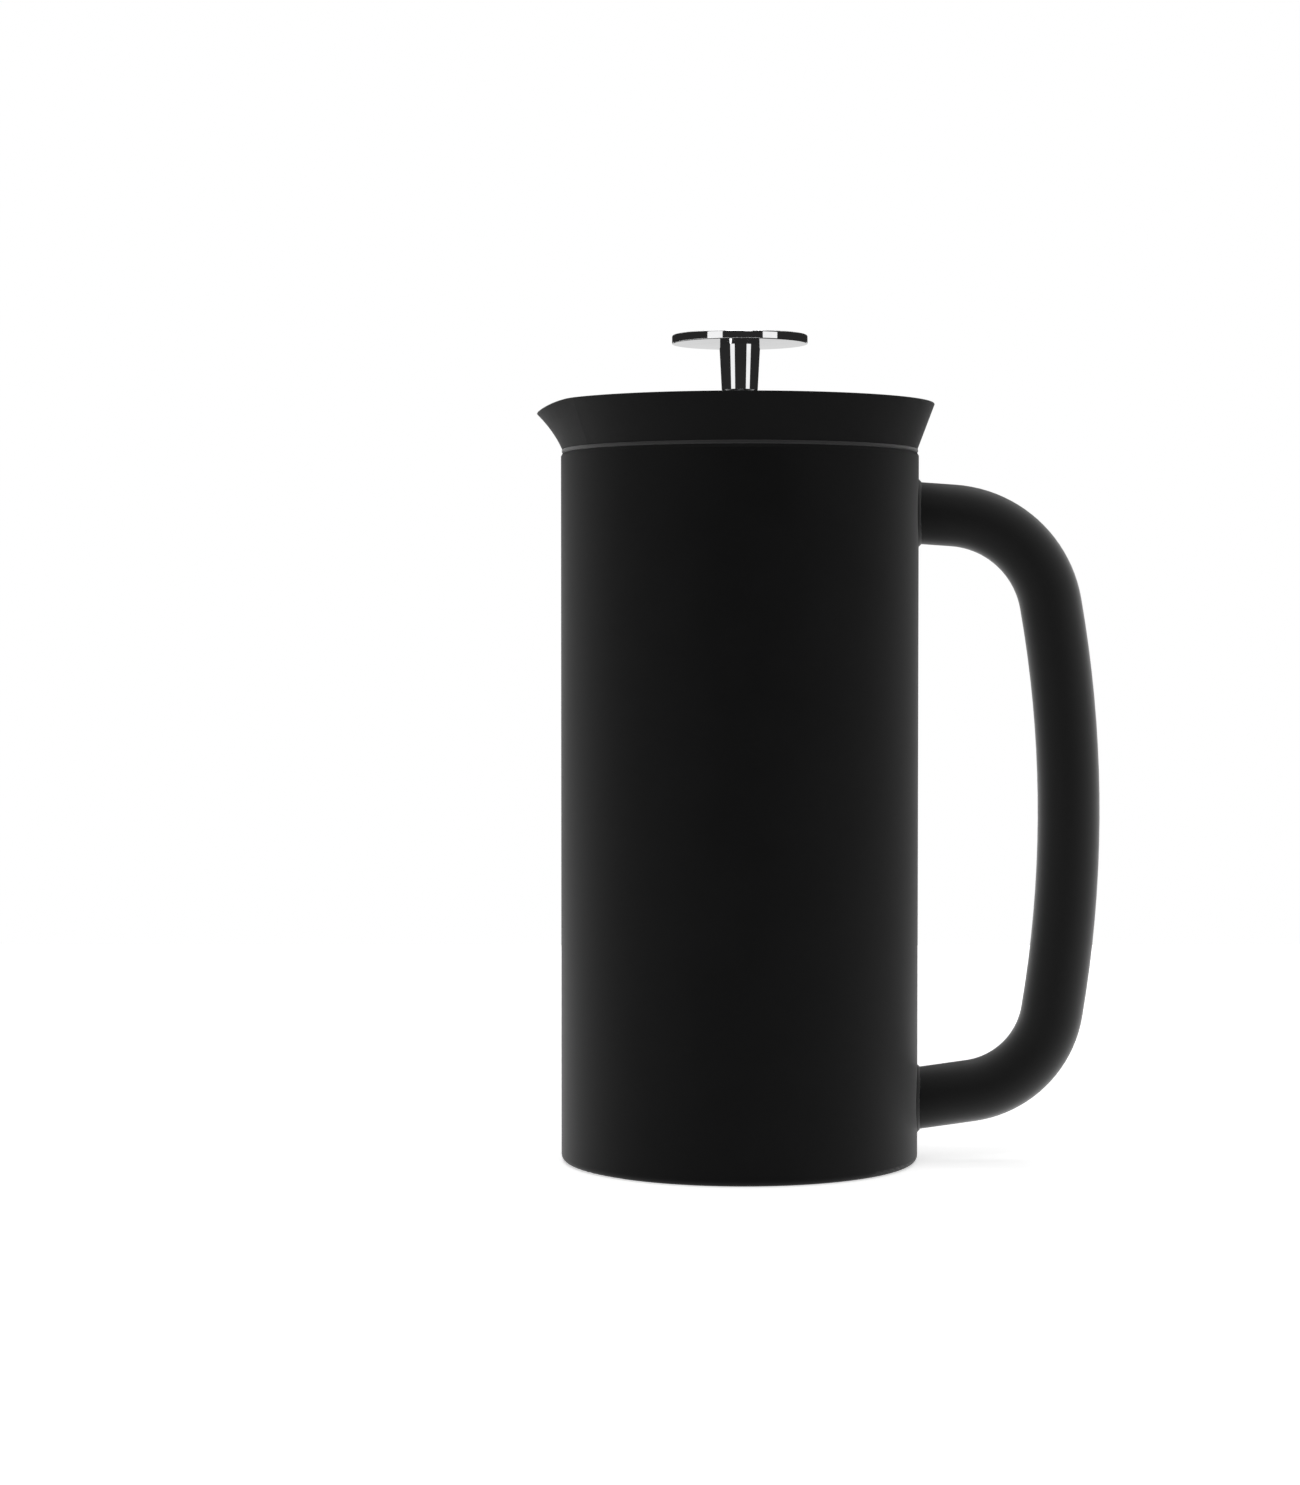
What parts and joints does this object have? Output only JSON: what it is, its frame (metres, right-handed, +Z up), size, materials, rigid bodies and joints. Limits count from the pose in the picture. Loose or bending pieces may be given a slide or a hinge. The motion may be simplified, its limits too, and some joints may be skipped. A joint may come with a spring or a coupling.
{
  "type": "french press",
  "caption": "Matt black double-walled steel coffee press with a flared pouring rim, a D-shaped tubular handle, a chrome knob and rod, a domed lid and twin mesh filter baskets.",
  "frame": {"origin": "centre of the base, on the plane of the table", "axes": "+Z up along the jug's axis, +X towards the handle, -X towards the spout"},
  "size_m": [0.1687, 0.1162, 0.2472],
  "materials": {
    "powder_coat": "matt, fine-grained powder coat",
    "liner_steel": "brushed",
    "gloss_black": "gloss",
    "satin_black": "satin, moulded",
    "chrome": "mirror polish",
    "silicone_grey": "satin silicone",
    "filter_mesh": "very fine woven mesh, slightly wavy",
    "brass_insert": "turned"
  },
  "bodies": {
    "jug": {"outer_shell": "powder_coat", "inner_vessel": "liner_steel", "base_plate": "powder_coat", "port_cap": "powder_coat", "getter_capsule": "liner_steel", "neck_weld": "powder_coat", "handle": "powder_coat", "upper_handle_weld": "powder_coat", "lower_handle_weld": "powder_coat"},
    "guide_bush": {"rod_guide_bush": "liner_steel"},
    "lid": {"lid_dome": "gloss_black", "lid_skirt": "satin_black", "lid_inner_plate": "satin_black", "lid_baffle": "satin_black"},
    "plunger": {"knob_cap": "chrome", "knob_neck": "chrome", "knob_stud": "liner_steel", "plunger_rod": "chrome"},
    "inner_filter": {"inner_filter_collar": "satin_black", "inner_filter_ribs": "satin_black", "inner_filter_floor": "satin_black", "inner_side_mesh": "filter_mesh", "inner_floor_mesh": "filter_mesh", "wiper_seal": "silicone_grey", "hub_insert": "brass_insert"},
    "outer_filter": {"outer_filter_collar": "satin_black", "outer_filter_ribs": "satin_black", "outer_filter_floor": "satin_black", "outer_side_mesh": "filter_mesh", "outer_floor_mesh": "filter_mesh"}
  },
  "joints": [
    {"name": "lid_lift", "type": "slide", "parent": "jug", "child": "guide_bush", "axis": [0, 0, 1], "range_m": [0, 0.112]},
    {"name": "lid_turn", "type": "hinge", "parent": "guide_bush", "child": "lid", "pos_m": [0, 0, 0.2136], "axis": [0, 0, 1], "continuous": true},
    {"name": "plunger_slide", "type": "slide", "parent": "guide_bush", "child": "plunger", "axis": [0, 0, 1], "range_m": [-0.0018, 0.095]},
    {"name": "filter_unscrew", "type": "hinge", "parent": "plunger", "child": "inner_filter", "pos_m": [0, 0, 0.041], "axis": [0, 0, 1], "continuous": true},
    {"name": "outer_filter_twist", "type": "hinge", "parent": "inner_filter", "child": "outer_filter", "pos_m": [0, 0, 0.0741], "axis": [0, 0, 1], "range_deg": [0, 30]}
  ]
}
